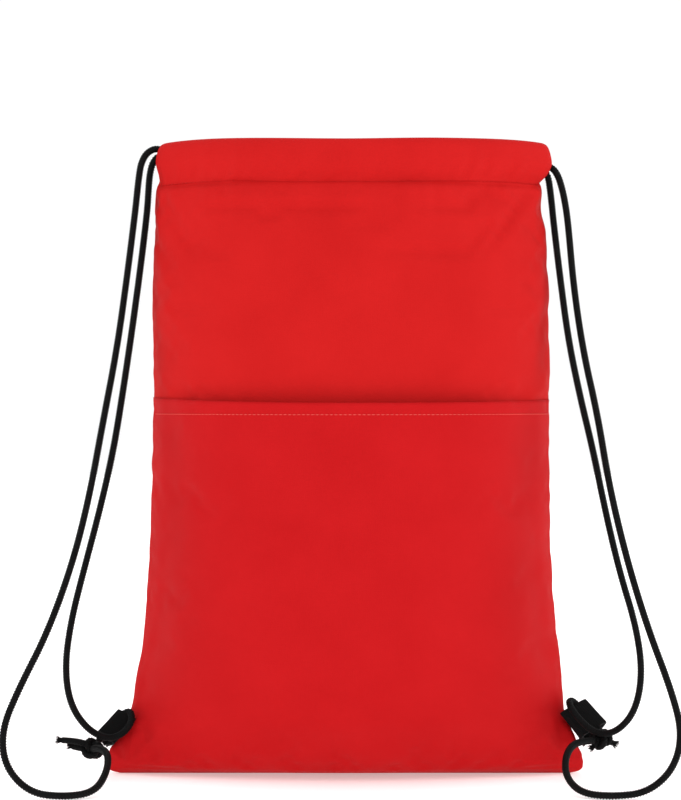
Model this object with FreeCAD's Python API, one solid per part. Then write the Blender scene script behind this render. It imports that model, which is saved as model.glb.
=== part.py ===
"""Insulated drawstring backpack, standing upright and filled out, with its four cord strands.

Frame: millimetres, +Z up, the front with the slip pocket faces -Y, the wearer's back is at +Y.
The origin is on the ground under the middle of the bag.
"""
import FreeCAD, Part
import math
import os

V = FreeCAD.Vector

# ---------------------------------------------------------------- driving dimensions
RIM_HEIGHT = 427.0            # ground to the top edge of the mouth
CHANNEL_HEIGHT = 31.0         # folded hem that the drawcords run in
POCKET_HEIGHT = 251.0         # ground to the pocket's top edge
POCKET_FRONT = 75.5           # how far the full pocket's inside stands in front of the bag's middle
POCKET_HEM = 10.0             # height of the turned-in hem of the pocket
BACK_FULLNESS = 76.5 / 66.0   # the back bulges this much further than the front

SHELL = 1.0                   # outer polyester with its coating
FOAM = 3.0                    # closed-cell foam
LINING = 0.6                  # wipe-clean inner film
PLY_GAP = 0.1                 # air between loose plies
HALF_SPLIT = 0.1              # front and back plies stop this far from the side seam line

TUNNEL_WALL = 1.2             # doubled fabric of the drawcord tunnel
TUNNEL_GAP = 5.3              # clear width inside the tunnel
TUNNEL_END = 7.0              # the tunnels stop this far from the side seam line
TUNNEL_HEM = 1.6              # fabric above and below the tunnel's hollow

SEAM_WIDTH = 8.0              # seam allowance left standing inside the bag
SEAM_THICK = 2.0
THREAD = 0.7                  # width of a row of lockstitch thread
THREAD_PROUD = 0.35

CORD = 4.5                    # braided drawcord diameter
CORD_BREAK = 0.4              # clearance between the cord in the tunnel and the swinging strand
LEFT_CORD_Z = 418.5           # height of the left drawcord in the tunnels
RIGHT_CORD_Z = 408.0
EXIT_BEND = 8.0               # radius of the bend where a strand leaves its tunnel and drops
NEAR_LEAD = 4.0               # straight cord before that bend, front tunnel
LEFT_FAR_LEAD = 16.0          # the same, back tunnel: this strand passes over the other one
RIGHT_FAR_LEAD = 12.0
EXIT_DROP = 5.5               # straight drop under the bend
ARC_SHARE = 0.45              # part of the shorter run that each arc of a route takes up

TAB_THICK = 1.3               # black webbing
TAB_ROOT = 1.4                # half thickness of the two webbing layers where they are sewn
TAB_BULGE = 3.9               # half thickness of the loop round its cord
TAB_TUNNEL = 2.6              # half height of the loop's hollow

TAIL = 4.2                    # cord tails beyond the knots, slightly drawn in by the knot

# Height, half width, middle, half depth of the front and side rounding of the filled bag.
STATIONS = [
    (0.0, 150.0, -3.6, 26.0, 6.0),
    (4.0, 157.0, -3.6, 32.0, 6.0),
    (13.0, 158.5, -3.6, 38.0, 6.0),
    (30.0, 151.0, -2.8, 45.0, 8.0),
    (45.0, 144.6, -1.9, 50.0, 11.0),
    (68.0, 142.0, -0.8, 55.0, 16.0),
    (83.0, 139.8, 0.0, 57.5, 20.0),
    (117.0, 136.1, 0.0, 62.0, 27.0),
    (180.0, 133.5, 0.0, 65.0, 32.0),
    (260.0, 132.8, 0.4, 66.0, 33.0),
    (318.0, 133.8, 0.0, 63.0, 30.0),
    (353.0, 132.3, 0.0, 59.0, 25.0),
    (388.0, 129.7, -1.5, 54.0, 17.0),
    (396.0, 129.6, -1.4, 53.0, 15.0),
    (404.0, 131.2, 1.2, 52.5, 13.0),
    (411.0, 132.8, 2.3, 52.0, 12.0),
    (427.0, 131.8, 2.2, 51.5, 12.0),
]

# Height and half depth of the pocket sheet's inside face: sewn shut at the base, full above it.
POCKET_STATIONS = [
    (2.0, 29.8),
    (4.0, 33.0),
    (13.0, 40.0),
    (30.0, 50.0),
    (45.0, 60.0),
    (68.0, 69.0),
    (83.0, 73.0),
    (117.0, POCKET_FRONT),
    (POCKET_HEIGHT, POCKET_FRONT),
]

# Routes of the four free strands, from under the tunnel's end down to the tab or the knot.
LEFT_OUTER = [
    (-141.3, -10.4, 405.0),
    (-144.8, -9.4, 378.0),
    (-150.0, -11.0, 335.0),
    (-156.0, -19.0, 286.0),
    (-164.0, -34.0, 236.0),
    (-171.0, -51.0, 188.0),
    (-180.0, -67.0, 146.0),
    (-194.5, -78.0, 103.0),
    (-212.0, -84.5, 68.0),
    (-222.5, -88.5, 42.0),
    (-219.5, -94.5, 20.0),
    (-203.0, -101.5, 4.5),
    (-181.0, -104.0, 2.4),
    (-162.5, -94.5, 3.5),
    (-156.5, -76.0, 13.5),
    (-158.0, -55.0, 22.5),
    (-167.0, -39.0, 23.5),
    (-171.0, -28.0, 20.5),
]
LEFT_INNER = [
    (-132.6, 0.6, 405.0),
    (-136.6, -2.0, 380.0),
    (-141.0, -9.5, 342.0),
    (-145.8, -18.5, 300.0),
    (-151.2, -26.5, 258.0),
    (-157.0, -33.5, 218.0),
    (-165.6, -40.0, 178.0),
    (-175.0, -45.0, 141.0),
    (-183.0, -49.0, 108.0),
    (-187.0, -50.0, 78.0),
    (-184.5, -44.5, 53.0),
    (-175.0, -33.0, 35.0),
    (-162.5, -24.5, 26.5),
    (-152.0, -21.5, 29.0),
    (-144.8, -21.5, 39.0),
    (-149.4, -11.0, 46.0),
    (-169.6, -10.6, 23.0),
    (-172.0, -19.0, 20.0),
]
RIGHT_INNER = [
    (136.3, 0.3, 394.5),
    (137.2, -2.5, 371.0),
    (140.4, -11.0, 334.0),
    (145.0, -20.0, 292.0),
    (152.0, -28.0, 254.0),
    (160.0, -34.5, 218.0),
    (167.4, -40.5, 178.0),
    (176.0, -46.0, 139.0),
    (186.0, -50.0, 105.0),
    (190.5, -49.5, 74.0),
    (186.5, -44.0, 47.5),
    (174.5, -35.0, 32.0),
    (161.5, -28.5, 31.0),
    (151.0, -24.5, 40.5),
    (144.5, -21.5, 50.0),
    (148.9, -9.8, 51.4),
    (167.8, -13.2, 29.9),
    (167.0, -20.5, 28.0),
]
RIGHT_OUTER = [
    (141.9, -7.6, 394.5),
    (145.6, -7.2, 370.0),
    (149.6, -9.5, 328.0),
    (155.0, -19.5, 284.0),
    (163.0, -33.0, 242.0),
    (168.5, -47.5, 198.0),
    (177.5, -63.0, 152.0),
    (190.0, -76.0, 106.0),
    (204.0, -84.5, 67.0),
    (210.5, -89.0, 40.0),
    (204.0, -96.0, 18.5),
    (186.5, -101.5, 4.5),
    (164.5, -102.5, 2.4),
    (145.0, -95.0, 3.5),
    (136.5, -78.0, 13.0),
    (138.5, -58.0, 25.5),
    (148.5, -42.5, 32.0),
    (160.5, -31.5, 27.5),
]

LEFT_KNOT = V(-171.6, -25.0, 20.1)
RIGHT_KNOT = V(166.2, -25.5, 27.0)
KNOT_RADIUS = 6.2

LEFT_TAILS = {
    "long": [(-175.5, -26.5, 23.5), (-184.0, -28.5, 26.5), (-194.0, -29.0, 27.0)],
    "short": [(-176.0, -25.0, 18.5), (-181.0, -25.0, 19.0), (-187.0, -24.0, 20.0)],
}
RIGHT_TAILS = {
    "long": [(169.5, -25.5, 25.5), (174.0, -25.5, 23.5), (178.5, -25.0, 21.5)],
    "short": [(163.5, -27.5, 24.0), (161.5, -28.5, 21.0), (160.0, -28.5, 18.5)],
}

# Webbing tabs: the sewn root and the folded nose, each at the tab's upper and lower end.
LEFT_TAB = {
    "root": ((-154.0, -0.8, 39.5), (-165.6, -0.8, 18.0)),
    "nose": ((-152.0, -14.5, 43.5), (-167.4, -14.0, 28.0)),
}
RIGHT_TAB = {
    "root": ((148.4, -0.8, 39.5), (158.6, -0.8, 18.6)),
    "nose": ((153.2, -13.0, 50.0), (167.6, -15.0, 35.0)),
}


# ---------------------------------------------------------------- the bag's plies
def station_at(z):
    """Half width, middle, half depth and side rounding of the bag at one height."""
    for low, high in zip(STATIONS, STATIONS[1:]):
        if low[0] <= z <= high[0]:
            share = (z - low[0]) / (high[0] - low[0])
            return [a + share * (b - a) for a, b in zip(low[1:], high[1:])]
    raise ValueError("no station at %s" % z)


def pocket_depth_at(z):
    for low, high in zip(POCKET_STATIONS, POCKET_STATIONS[1:]):
        if low[0] <= z <= high[0]:
            share = (z - low[0]) / (high[0] - low[0])
            return low[1] + share * (high[1] - low[1])
    raise ValueError("no pocket station at %s" % z)


def lens(half_width, half_depth, rounding):
    """Radius of the broad arc and the angle at which it runs into the side rounding."""
    reach = half_width - rounding
    radius = (reach ** 2 + half_depth ** 2 - rounding ** 2) / (2.0 * (half_depth - rounding))
    angle = math.asin(reach / (radius - rounding))
    return radius, angle


def section(z, inset, front_depth=None):
    """Outline of the filled bag at one height: two broad arcs and two small side arcs."""
    half_width, middle, half_depth, rounding = station_at(z)
    front = half_depth if front_depth is None else front_depth
    back = half_depth * BACK_FULLNESS
    small = max(rounding - inset, 0.6)
    width = half_width - inset
    edges = []
    corners = {}
    for side, depth in ((-1, front - inset), (1, back - inset)):
        radius, angle = lens(width, depth, small)
        x = (width - small) + small * math.sin(angle)
        y = side * small * math.cos(angle)
        corners[side] = (x, y)
        left = V(middle - x, y, z)
        right = V(middle + x, y, z)
        top = V(middle, side * depth, z)
        edges.append(Part.Arc(left, top, right).toShape())
    for end in (1, -1):
        x_front, y_front = corners[-1]
        x_back, y_back = corners[1]
        start = V(middle + end * x_front, y_front, z)
        tip = V(middle + end * width, 0, z)
        stop = V(middle + end * x_back, y_back, z)
        edges.insert(1 if end == 1 else 3, Part.Arc(start, tip, stop).toShape())
    return Part.Wire(Part.__sortEdges__(edges))


def levels(low, high, stations):
    return [low] + [s[0] for s in stations if low < s[0] < high] + [high]


def body_between(low, high, inset):
    """The filled bag's solid shape between two heights, drawn in by an inset."""
    wires = [section(z, inset) for z in levels(low, high, STATIONS)]
    return Part.makeLoft(wires, True, True)


def pocket_between(low, high, outset):
    """The pocket's shape: as wide as the bag, and as deep as its own stations."""
    heights = sorted(set(levels(low, high, STATIONS) + levels(low, high, POCKET_STATIONS)))
    wires = [section(z, -outset, pocket_depth_at(z)) for z in heights]
    return Part.makeLoft(wires, True, True)


def half_space(side, clear):
    """A block that keeps the front (side -1) or the back (side 1) of the bag."""
    size = 500.0
    corner = V(-size / 2.0, clear if side > 0 else -size / 2.0 - clear, -10.0)
    return Part.makeBox(size, size / 2.0, size, corner)


def ply(side, outer_inset, thickness, low, high, floor):
    """One side of one layer of the bag, with its half of the floor."""
    outside = body_between(low, high, outer_inset)
    inside = body_between(low + floor, high + 0.5, outer_inset + thickness)
    return outside.cut(inside).common(half_space(side, HALF_SPLIT))


def channel(side):
    """The folded hem on one side: a flat tunnel along the mouth, open at both ends."""
    low = RIM_HEIGHT - CHANNEL_HEIGHT
    depth = 2.0 * TUNNEL_WALL + TUNNEL_GAP
    band = body_between(low, RIM_HEIGHT, 0.0).cut(body_between(low - 1.0, RIM_HEIGHT, depth))
    hollow_low = low + TUNNEL_HEM
    hollow_high = RIM_HEIGHT - TUNNEL_HEM
    hollow = body_between(hollow_low, hollow_high, TUNNEL_WALL)
    hollow = hollow.cut(body_between(hollow_low - 1.0, hollow_high, TUNNEL_WALL + TUNNEL_GAP))
    return band.cut(hollow).common(half_space(side, TUNNEL_END))


def pocket_sheet():
    low = POCKET_STATIONS[0][0]
    sheet = pocket_between(low, POCKET_HEIGHT, PLY_GAP + SHELL)
    sheet = sheet.cut(pocket_between(low, POCKET_HEIGHT, PLY_GAP))
    return sheet.common(half_space(-1, HALF_SPLIT))


def pocket_hem():
    """The turned-in edge inside the pocket's mouth, where the sheet stands off the bag."""
    low = POCKET_HEIGHT - POCKET_HEM
    clear_of_sides = 12.0
    hem = pocket_between(low, POCKET_HEIGHT, 0.0)
    hem = hem.cut(pocket_between(low, POCKET_HEIGHT, -SHELL))
    return hem.common(half_space(-1, POCKET_FRONT - 30.0 + clear_of_sides))


def thread_row(solid_between, side, z, surface, clear):
    """A row of stitching that stands slightly proud of a ply."""
    outside = solid_between(z, z + THREAD, surface + THREAD_PROUD)
    inside = solid_between(z, z + THREAD, surface)
    return outside.cut(inside).common(half_space(side, clear))


def bag_outset(low, high, outset):
    return body_between(low, high, -outset)


def side_seam(end):
    """Seam allowance standing inside the bag along one side."""
    wall = SHELL + FOAM + LINING + 2.0 * PLY_GAP + 0.4
    low = 12.0
    high = RIM_HEIGHT - CHANNEL_HEIGHT - 2.0
    outer = []
    inner = []
    for z in levels(low, high, STATIONS):
        half_width, middle = station_at(z)[:2]
        outer.append(V(middle + end * (half_width - wall), -SEAM_THICK / 2.0, z))
        inner.append(V(middle + end * (half_width - wall - SEAM_WIDTH), -SEAM_THICK / 2.0, z))
    outline = Part.makePolygon(outer + inner[::-1] + outer[:1])
    return Part.Face(outline).extrude(V(0, SEAM_THICK, 0))


def bottom_seam():
    wall = SHELL + FOAM + LINING + 2.0 * PLY_GAP + 0.4
    half_width, middle = station_at(wall + SEAM_WIDTH)[:2]
    length = 2.0 * (half_width - wall - SEAM_WIDTH - 4.0)
    corner = V(middle - length / 2.0, -SEAM_THICK / 2.0, wall)
    return Part.makeBox(length, SEAM_THICK, SEAM_WIDTH, corner)


# ---------------------------------------------------------------- cords, knots and tabs
def tube(edges, diameter):
    """A round cord along a wire of tangent lines and arcs."""
    path = Part.Wire(edges)
    start = edges[0].valueAt(edges[0].FirstParameter)
    heading = edges[0].tangentAt(edges[0].FirstParameter)
    profile = Part.Wire(Part.makeCircle(diameter / 2.0, start, heading))
    return path.makePipeShell([profile], True, False), path.Length


def route_edges(points):
    """Straight runs joined by the largest tangent arcs that the runs leave room for."""
    corners = [V(*p) for p in points]
    edges = []
    radii = []
    start = corners[0]
    for before, corner, after in zip(corners, corners[1:], corners[2:]):
        heading_in = (corner - before).normalize()
        heading_out = (after - corner).normalize()
        half_turn = heading_in.getAngle(heading_out) / 2.0
        shorter = min((corner - before).Length, (after - corner).Length)
        reach = ARC_SHARE * shorter
        radius = reach / math.tan(half_turn)
        radii.append(radius)
        bisector = (heading_out - heading_in).normalize()
        first = corner - heading_in * reach
        last = corner + heading_out * reach
        middle = corner + bisector * (radius / math.cos(half_turn) - radius)
        edges.append(Part.LineSegment(start, first).toShape())
        edges.append(Part.Arc(first, middle, last).toShape())
        start = last
    edges.append(Part.LineSegment(start, corners[-1]).toShape())
    return edges, radii


def strand(name, points, diameter=CORD):
    edges, radii = route_edges(points)
    solid, length = tube(edges, diameter)
    expected = math.pi * diameter ** 2 / 4.0 * length
    print("%-18s length %6.1f  volume/expected %.4f  radii %s"
          % (name, length, solid.Volume / expected, " ".join("%.0f" % r for r in radii)))
    return solid


def channel_cord(end, z, far_lead):
    """One drawcord inside the tunnels: out of the front tunnel's end, round the mouth and back."""
    half_width, middle, front, rounding = station_at(z)
    inset = TUNNEL_WALL + TUNNEL_GAP / 2.0
    width = half_width - inset
    small = rounding - inset
    front_depth = front - inset
    back_depth = front * BACK_FULLNESS - inset
    _, front_angle = lens(width, front_depth, small)
    _, back_angle = lens(width, back_depth, small)
    side_x = width - small

    def meeting(toward, side, angle):
        x = middle + toward * (side_x + small * math.sin(angle))
        return V(x, side * small * math.cos(angle), z)

    front_exit = meeting(end, -1, front_angle)
    front_far = meeting(-end, -1, front_angle)
    back_far = meeting(-end, 1, back_angle)
    back_exit = meeting(end, 1, back_angle)
    far_tip = V(middle - end * width, 0, z)
    edges = exit_bend(front_exit, end, -1, front_angle, NEAR_LEAD)
    edges.append(Part.Arc(front_exit, V(middle, -front_depth, z), front_far).toShape())
    edges.append(Part.Arc(front_far, far_tip, back_far).toShape())
    edges.append(Part.Arc(back_far, V(middle, back_depth, z), back_exit).toShape())
    tail = exit_bend(back_exit, end, 1, back_angle, far_lead)
    edges += tail[::-1]
    solid, length = tube(edges, CORD)
    print("channel cord %+d length %.1f" % (end, length))
    return solid


def exit_bend(leave, end, side, angle, lead):
    """Edges from the cord's lower end up to the point where it is still in its tunnel."""
    out = V(end * math.cos(angle), -side * math.sin(angle), 0)
    down = V(0, 0, -1)
    bend_start = leave + out * lead
    bend_end = bend_start + out * EXIT_BEND + down * EXIT_BEND
    centre = bend_start + down * EXIT_BEND
    middle = centre + (out - down).normalize() * EXIT_BEND
    foot = bend_end + down * (EXIT_DROP - CORD_BREAK)
    print("exit foot %s" % foot)
    return [
        Part.LineSegment(foot, bend_end).toShape(),
        Part.Arc(bend_end, middle, bend_start).toShape(),
        Part.LineSegment(bend_start, leave).toShape(),
    ]


def knot(centre, tilt):
    """Outer shape of a pulled-tight double overhand knot: a ball with two turns of cord on it."""
    ball = Part.makeSphere(KNOT_RADIUS - 0.6, centre)
    turn = Part.makeTorus(KNOT_RADIUS - 2.2, 2.2, centre, V(math.sin(tilt), 0.3, math.cos(tilt)))
    return ball.fuse(turn).removeSplitter()


def tab_frame(tab, end):
    """Origin, length and directions of the tab's profile at its upper (0) or lower (1) end."""
    root = V(*tab["root"][end])
    nose = V(*tab["nose"][end])
    along = (V(*tab["root"][1]) - V(*tab["root"][0])).normalize()
    out = (nose - root).normalize()
    up = along.cross(out).normalize()
    return root, (nose - root).Length, out, up


def tab_outline(tab, end):
    root, length, out, up = tab_frame(tab, end)

    def at(u, v):
        return root + out * u + up * v

    shoulder = 0.4 * length
    straight = length - TAB_BULGE
    corners = [at(0, TAB_ROOT), at(0, -TAB_ROOT), at(shoulder, -TAB_BULGE), at(straight, -TAB_BULGE)]
    edges = [Part.LineSegment(a, b).toShape() for a, b in zip(corners, corners[1:])]
    fold = Part.Arc(at(straight, -TAB_BULGE), at(length, 0), at(straight, TAB_BULGE))
    edges.append(fold.toShape())
    edges.append(Part.LineSegment(at(straight, TAB_BULGE), at(shoulder, TAB_BULGE)).toShape())
    edges.append(Part.LineSegment(at(shoulder, TAB_BULGE), at(0, TAB_ROOT)).toShape())
    return Part.Wire(edges)


def tab_hollow(tab, end, beyond):
    """The way through the loop, carried a little past the webbing's edge."""
    root, length, out, up = tab_frame(tab, end)
    along = (V(*tab["root"][1]) - V(*tab["root"][0])).normalize()
    centre = root + out * (length - TAB_THICK - TAB_TUNNEL) + along * beyond
    inward = centre - out * 2.0
    edges = [
        Part.Arc(centre + up * -TAB_TUNNEL, centre + out * TAB_TUNNEL, centre + up * TAB_TUNNEL).toShape(),
        Part.LineSegment(centre + up * TAB_TUNNEL, inward + up * TAB_TUNNEL).toShape(),
        Part.Arc(inward + up * TAB_TUNNEL, inward - out * TAB_TUNNEL, inward - up * TAB_TUNNEL).toShape(),
        Part.LineSegment(inward - up * TAB_TUNNEL, centre - up * TAB_TUNNEL).toShape(),
    ]
    return Part.Wire(edges)


def webbing_tab(tab):
    loop = Part.makeLoft([tab_outline(tab, 0), tab_outline(tab, 1)], True, True)
    hollow = Part.makeLoft([tab_hollow(tab, 0, -1.0), tab_hollow(tab, 1, 1.0)], True, True)
    return loop.cut(hollow)


def tab_stitching(tab):
    """One row of thread on each face of the tab, next to its sewn root."""
    rows = []
    for face in (1, -1):
        ends = []
        for end in (0, 1):
            root, length, out, up = tab_frame(tab, end)
            margin = 2.0 if end == 0 else -2.0
            along = (V(*tab["root"][1]) - V(*tab["root"][0])).normalize()
            ends.append(root + out * 1.6 + up * (face * (TAB_ROOT + 1.1)) + along * margin)
        heading = (ends[1] - ends[0])
        rows.append(Part.makeCylinder(THREAD / 2.0, heading.Length, ends[0], heading.normalize()))
    return Part.makeCompound(rows)


# ---------------------------------------------------------------- the assembly
def build():
    nodes = {}
    seam_z = RIM_HEIGHT - CHANNEL_HEIGHT
    foam_inset = SHELL + PLY_GAP
    lining_inset = foam_inset + FOAM + PLY_GAP
    for name, side in (("front", -1), ("back", 1)):
        nodes[name + "_panel"] = ply(side, 0.0, SHELL, 0.0, seam_z, SHELL)
        nodes[name + "_foam"] = ply(side, foam_inset, FOAM, foam_inset, seam_z - 1.0, FOAM)
        nodes[name + "_lining"] = ply(side, lining_inset, LINING, lining_inset, seam_z - 1.0, LINING)
        nodes[name + "_channel"] = channel(side)
        nodes[name + "_channel_stitching"] = thread_row(bag_outset, side, seam_z + 1.0, 0.0, TUNNEL_END)
    nodes["front_pocket"] = pocket_sheet()
    nodes["pocket_hem"] = pocket_hem()
    nodes["pocket_hem_stitching"] = thread_row(
        pocket_between, -1, POCKET_HEIGHT - POCKET_HEM + 2.5, PLY_GAP + SHELL, 10.0)
    nodes["bottom_seam"] = bottom_seam()
    sides = (
        ("left", -1, LEFT_CORD_Z, LEFT_FAR_LEAD,
         LEFT_OUTER, LEFT_INNER, LEFT_KNOT, LEFT_TAILS, LEFT_TAB),
        ("right", 1, RIGHT_CORD_Z, RIGHT_FAR_LEAD,
         RIGHT_OUTER, RIGHT_INNER, RIGHT_KNOT, RIGHT_TAILS, RIGHT_TAB),
    )
    for name, end, cord_z, far_lead, outer, inner, knot_centre, tails, tab in sides:
        nodes[name + "_side_seam"] = side_seam(end)
        nodes[name + "_channel_cord"] = channel_cord(end, cord_z, far_lead)
        nodes[name + "_cord_outer"] = strand(name + "_cord_outer", outer)
        nodes[name + "_cord_inner"] = strand(name + "_cord_inner", inner)
        nodes[name + "_knot"] = knot(knot_centre, end * 0.6)
        for size, points in tails.items():
            nodes["%s_tail_%s" % (name, size)] = strand("%s tail" % name, points, TAIL)
        nodes[name + "_tab"] = webbing_tab(tab)
        nodes[name + "_tab_stitching"] = tab_stitching(tab)
    return nodes


def main():
    os.makedirs("parts", exist_ok=True)
    for name, shape in build().items():
        if not shape.isValid() or shape.Volume <= 0:
            raise RuntimeError("bad solid: " + name)
        print("%-24s solids %d volume %.1f" % (name, len(shape.Solids), shape.Volume))
        shape.exportStep("parts/" + name + ".step")


main()
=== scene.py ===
"""Looks of the insulated drawstring backpack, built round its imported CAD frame.

Metres, +Z up. The front with the slip pocket faces -Y and the wearer's back is at +Y.
"""
import math
import random

import bpy
import numpy as np
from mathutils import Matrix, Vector, noise


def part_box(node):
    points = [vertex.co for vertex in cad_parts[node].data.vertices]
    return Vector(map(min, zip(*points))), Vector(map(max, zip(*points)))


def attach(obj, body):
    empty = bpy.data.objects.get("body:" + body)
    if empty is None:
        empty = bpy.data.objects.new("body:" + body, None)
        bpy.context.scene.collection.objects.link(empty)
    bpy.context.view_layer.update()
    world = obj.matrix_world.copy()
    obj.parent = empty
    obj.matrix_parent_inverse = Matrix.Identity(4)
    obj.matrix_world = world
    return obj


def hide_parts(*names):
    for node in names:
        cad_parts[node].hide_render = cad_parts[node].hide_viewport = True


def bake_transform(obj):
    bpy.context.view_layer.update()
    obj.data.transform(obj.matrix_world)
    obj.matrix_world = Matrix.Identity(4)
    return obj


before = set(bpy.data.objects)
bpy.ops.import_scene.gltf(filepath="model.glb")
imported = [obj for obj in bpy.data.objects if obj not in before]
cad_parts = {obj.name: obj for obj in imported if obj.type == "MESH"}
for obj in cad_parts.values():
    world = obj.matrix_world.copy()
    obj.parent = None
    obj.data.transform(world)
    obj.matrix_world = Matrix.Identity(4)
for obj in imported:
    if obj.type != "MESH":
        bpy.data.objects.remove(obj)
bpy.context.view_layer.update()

MM = 0.001

# ---- driving values
CAMERA_PLACE = (-0.0069, -1.5, 0.252)
CAMERA_LENS = 99.9
CAMERA_SENSOR = 36
# Area lights: name, place, target, size and watts.
LIGHTS = [
    ("key", (0.7, -2.1, 0.9), (0, 0, 0.22), (1.3, 1.3), 2.2),
    ("low_front", (-0.2, -2.3, 0.35), (0, 0, 0.05), (2.2, 0.6), 5),
    ("floor_wash", (0, -1, 1.5), (0, -0.4, 0), (1.6, 1.2), 1.6),
    ("left_side", (-1.9, -0.5, 0.6), (0, 0, 0.2), (0.9, 1.2), 6),
    ("right_side", (1.9, -0.4, 0.6), (0, 0, 0.2), (0.9, 1.2), 8.5),
    ("top", (0, 0.3, 1.9), (0, 0, 0.2), (1.6, 1.6), 0.8),
    ("rear", (0.3, 2, 0.9), (0, 0, 0.2), (1.6, 1.2), 4.5),
]
WORLD_GLOW = 1.02
FLOOR_WHITE = (0.965, 0.965, 0.965, 1)
FLOOR_GLOW = 0.36  # a light table's floor, lit a little from below
FLOOR_HALF = 6
WHITE = (1, 1, 1, 1)
TINT_SPAN = (0.3, 0.7)  # noise values at the ends of a tint

BACK_FULLNESS = 76.5 / 66  # the back's depth over the front's
SEAM_Z = 396 * MM  # the line of stitching under the drawcord tunnels
POCKET_Z = 250 * MM  # top edge of the pocket, at its middle
POCKET_RISE = (4 * MM, 2.2 * MM)  # how much higher that edge is at the left and right seams
POCKET_STRETCH_FROM = 150 * MM  # the rise begins here
POCKET_CLOTH = 0.9 * MM
HEM = 10 * MM
HEM_CLOTH = 0.8 * MM
HEM_STITCH_DROP = 7.4 * MM
BEHIND_POCKET = 1.3 * MM  # the front wall is this much deeper behind the pocket
SWAY_FROM = 330 * MM  # the wall follows the mouth's dips from this height up
FLOOR_GAP = 0.2 * MM

CLOTH = 1 * MM
FOAM = 3 * MM
LINING = 0.6 * MM
PLY_GAP = 0.1 * MM
SEAM_GAP = 0.15 * MM  # front and back plies stop this far from the side seam line
INNER_REACH = 0.94  # foam and lining stop this share of the way to the side seam,
EDGE_TUCK = 1.2 * MM  # their side edges lie this much deeper
CORNER_DROP = 6 * MM  # and their upper corners are cut this much lower
SIDE_RISE = 4 * MM  # the outer cloth rises between the tunnels' ends

SIM_ROWS = 72  # the simulated wall's mesh is about 5.5 mm square
SIM_COLUMNS = 53
SIM_FRAMES = 20
SIM_EASE = 0.012  # the cloth's spare size, which buckles it at its seams
SIM_HELD_BELOW = 9 * MM
SIM_CAP = 5 * MM  # no point moves further than this
SIM_CLOTH = dict(
    vertex_group_mass="held", quality=5, mass=0.15, tension_stiffness=15,
    compression_stiffness=15, shear_stiffness=8, bending_stiffness=0.4, air_damping=4,
    shrink_min=-SIM_EASE, shrink_max=-SIM_EASE, use_pressure=True, uniform_pressure_force=4)

CORD_OVER_BRAID = 5 * MM  # over the crowns of the braid
KNOTTED_CORD = 4.6 * MM  # the same, where a knot pulls the cord tight
BRAID_STRANDS = 4  # each way round
BRAID_PERIOD = 1.9 * MM
BRAID_RELIEF = 0.66 * MM
KNOT_UNIT = 1.95 * MM
YARNS = 64  # in each frayed end
TAPE = (7 * MM, 1.9 * MM)  # width and thickness of the binding inside the seams
TAPE_FROM_SIDE = 7.4 * MM
TAPE_FROM_FLOOR = 1.6 * MM

# Stitches: pitch, length, thread radius, first one's place, sunk share of the radius, girth.
TUNNEL_STITCH = (3 * MM, 2.6 * MM, 0.36 * MM, 3 * MM, 0.45, 2.16 * MM)
HEM_STITCH = (3 * MM, 2.6 * MM, 0.34 * MM, 3 * MM, 0.45, 2.04 * MM)
TAB_STITCH = (2.4 * MM, 2 * MM, 0.33 * MM, 0.8 * MM, 0.4, 2.1 * MM)

# Height, half width, middle, half depth of the front and side rounding, from the bottom seam up.
PROFILE = np.array([
    (0.2, 155.4, -3.7, 1.2, 0.6), (1.3, 158.6, -3.7, 8, 2), (2.8, 160.4, -3.7, 17, 3.4),
    (4.8, 161.4, -3.7, 26, 4.6), (8, 161.5, -3.7, 33, 5.6), (13, 160.4, -3.7, 38, 6),
    (30, 152.9, -3, 45, 8), (45, 146.7, -1.7, 50, 11), (68, 144.2, -1, 55, 16),
    (83, 142, -0.5, 57.5, 20), (117, 138.7, -1, 62, 27), (180, 135.7, -0.1, 65, 32),
    (260, 134.8, 0.1, 66, 33), (318, 134.7, -0.2, 63, 30), (353, 133.3, -0.2, 59, 25),
    (388, 130.6, -1.5, 54, 17), (396, 130.3, -1.4, 53, 15), (404, 131.2, 1.2, 52.5, 13),
    (411, 132.8, 2.3, 52, 12), (427, 131.8, 2.2, 51.5, 12),
]) * MM
# Height and half depth of the pocket's outside.
POCKET_PROFILE = np.array([
    (0.2, 1.2), (1.3, 8), (2.8, 17.5), (4.8, 27.5), (8, 35.5), (13, 41.2), (30, 51.4), (45, 61.2),
    (68, 70.2), (83, 74.2), (117, 76.6), (257, 76.6),
]) * MM

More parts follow.
